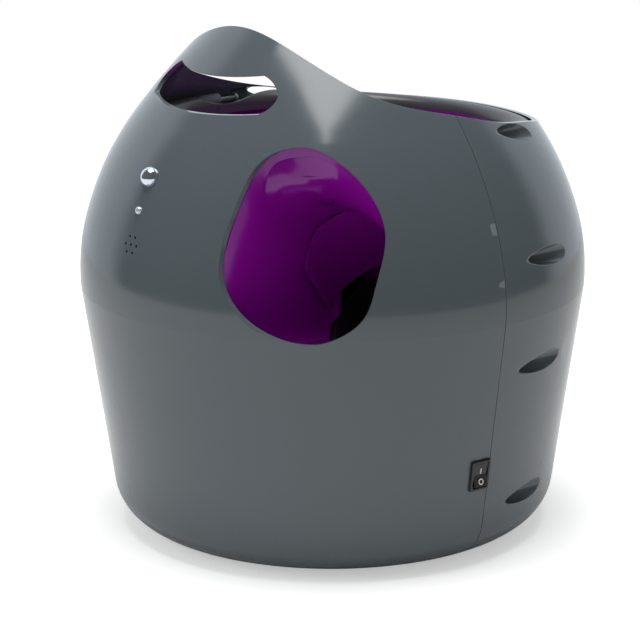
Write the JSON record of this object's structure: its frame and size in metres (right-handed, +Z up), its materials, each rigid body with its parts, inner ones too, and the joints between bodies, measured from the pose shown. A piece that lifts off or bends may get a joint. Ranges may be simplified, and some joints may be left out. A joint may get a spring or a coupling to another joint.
{
  "type": "automatic dog ball launcher",
  "caption": "Round free-standing ball launcher for dogs: open hopper, hooded carry slot, throwing bay with tilting spring barrel, rocker switch and distance dial.",
  "frame": {"origin": "on the floor under the middle of the round body, at the underside of the rubber feet", "axes": "+Z up, front with sensor, launch bay and hood towards -Y, power switch on the +X side"},
  "size_m": [0.336, 0.336, 0.3382],
  "materials": {
    "grey_shell": "glossy moulded",
    "dark_grey_plastic": "satin moulded",
    "purple_plastic": "glossy moulded",
    "black_plastic": "moulded",
    "switch_black": "moulded",
    "dial_grey": "moulded",
    "white_nylon": "moulded",
    "steel": "plated",
    "spring_steel": "oiled",
    "brass": "machined",
    "rubber": "moulded",
    "cell_wrap": "wrapped",
    "board_green": "laminate",
    "clear_lens": "polished",
    "lamp": "diffuse"
  },
  "bodies": {
    "casing": {"front_shell": "grey_shell", "rear_shell": "grey_shell", "base_plate": "black_plastic", "battery_tray": "black_plastic", "battery_cells": "cell_wrap", "battery_contacts": "steel", "battery_door": "black_plastic", "feet": "rubber", "base_screws": "steel", "shell_screws": "steel", "collar_front": "dark_grey_plastic", "collar_rear": "dark_grey_plastic", "hopper_bowl": "purple_plastic", "bay_liner": "purple_plastic", "feed_chute": "purple_plastic", "launch_frame": "black_plastic", "pir_lens": "clear_lens", "sensor_board": "board_green", "status_light": "lamp", "speaker": "black_plastic", "switch_frame": "switch_black", "dc_jack": "black_plastic", "main_board": "board_green", "board_parts": "black_plastic", "dial_pot": "steel"},
    "launch_unit": {"launch_barrel": "black_plastic", "spring_tube": "black_plastic", "gear_plate_inner": "steel", "gear_plate_outer": "steel", "gear_posts": "steel", "motor": "steel", "striker_spring": "spring_steel"},
    "striker": {"striker": "white_nylon", "striker_rack": "white_nylon"},
    "sector": {"sector_gear": "white_nylon", "sector_shaft": "steel"},
    "idler": {"idler_gear": "white_nylon", "idler_shaft": "steel"},
    "motor_rotor": {"motor_pinion": "brass", "motor_shaft": "steel"},
    "rocker": {"switch_rocker": "switch_black"},
    "dial": {"distance_dial": "dial_grey"}
  },
  "joints": [
    {"name": "launch_tilt", "type": "hinge", "parent": "casing", "child": "launch_unit", "pos_m": [0.1055, -0.03, 0.148], "axis": [1, 0, 0], "range_deg": [0, 13]},
    {"name": "striker_slide", "type": "slide", "parent": "launch_unit", "child": "striker", "axis": [0, 0.7071, -0.7071], "range_m": [0, 0.036], "stiffness_N_per_m": 300, "deforming": ["striker_spring"]},
    {"name": "sector_spin", "type": "hinge", "parent": "launch_unit", "child": "sector", "pos_m": [0.1055, 0.05627, 0.09285], "axis": [1, 0, 0], "range_deg": [0, 140]},
    {"name": "idler_spin", "type": "hinge", "parent": "launch_unit", "child": "idler", "pos_m": [0.1055, 0.08627, 0.09285], "axis": [1, 0, 0], "range_deg": [-560, 0]},
    {"name": "motor_spin", "type": "hinge", "parent": "launch_unit", "child": "motor_rotor", "pos_m": [0.1055, 0.08003, 0.0635], "axis": [1, 0, 0], "range_deg": [0, 2240]},
    {"name": "power_switch", "type": "hinge", "parent": "casing", "child": "rocker", "pos_m": [0.14965, -0.00758, 0.06546], "axis": [0.0506, 0.9987, 0], "range_deg": [0, 14]},
    {"name": "distance_setting", "type": "hinge", "parent": "casing", "child": "dial", "pos_m": [-0.03, 0.14, 0.075], "axis": [0, 1, 0], "range_deg": [-140, 140]}
  ],
  "couplings": [
    {"joint": "sector_spin", "follows": "striker_slide", "rad_per_m": 66.667},
    {"joint": "idler_spin", "follows": "striker_slide", "rad_per_m": -266.67},
    {"joint": "motor_spin", "follows": "striker_slide", "rad_per_m": 1066.7}
  ]
}
